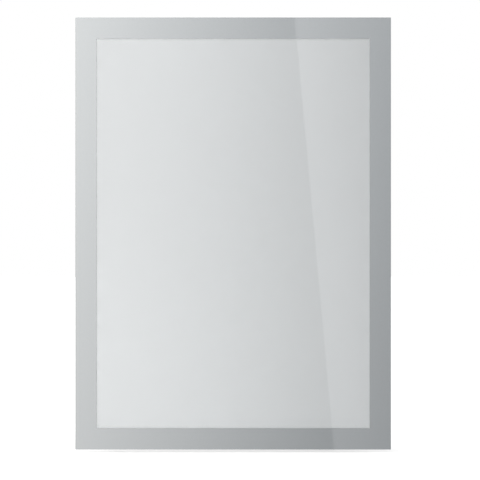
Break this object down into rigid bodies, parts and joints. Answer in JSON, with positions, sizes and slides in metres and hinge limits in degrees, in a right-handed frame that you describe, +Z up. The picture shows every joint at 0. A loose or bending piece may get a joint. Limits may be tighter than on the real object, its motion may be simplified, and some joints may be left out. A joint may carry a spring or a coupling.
{
  "type": "magnetic display frame",
  "caption": "Thin upright display frame for an A4 sheet: a clear window film with a satin silver border folds open on a film hinge; magnet ribbons close it and hold it to a steel board.",
  "frame": {"origin": "centre of the back face of the top mounting magnet, on the plane of the board that the frame is held to", "axes": "+Z up along the frame's height, +Y into the board, -Y out of the front towards the viewer, +X to the viewer's right"},
  "size_m": [0.236, 0.003, 0.325],
  "materials": {
    "clear_film": "gloss",
    "silver_foil": "satin",
    "magnet_rubber": "matte",
    "adhesive_tape": "satin",
    "hinge_film": "satin",
    "paper": "matte"
  },
  "bodies": {
    "rear_panel": {"rear_film": "clear_film", "insert_sheet": "paper", "hinge_film": "hinge_film", "rear_magnet_left": "magnet_rubber", "rear_magnet_right": "magnet_rubber", "rear_magnet_top": "magnet_rubber", "rear_magnet_bottom": "magnet_rubber", "rear_tape_right": "adhesive_tape", "rear_tape_top": "adhesive_tape", "rear_tape_bottom": "adhesive_tape", "mount_magnet_left": "magnet_rubber", "mount_magnet_right": "magnet_rubber", "mount_magnet_top": "magnet_rubber", "mount_magnet_bottom": "magnet_rubber", "mount_tape_left": "adhesive_tape", "mount_tape_right": "adhesive_tape", "mount_tape_top": "adhesive_tape", "mount_tape_bottom": "adhesive_tape"},
    "cover": {"window_film": "clear_film", "silver_border": "silver_foil", "cover_magnet_left": "magnet_rubber", "cover_magnet_right": "magnet_rubber", "cover_magnet_top": "magnet_rubber", "cover_magnet_bottom": "magnet_rubber", "cover_tape_right": "adhesive_tape", "cover_tape_top": "adhesive_tape", "cover_tape_bottom": "adhesive_tape"}
  },
  "joints": [
    {"name": "cover_hinge", "type": "hinge", "parent": "rear_panel", "child": "cover", "pos_m": [-0.1181, -0.00185, -0.15525], "axis": [0, 0, -1], "range_deg": [0, 180], "deforming": ["hinge_film"]}
  ]
}
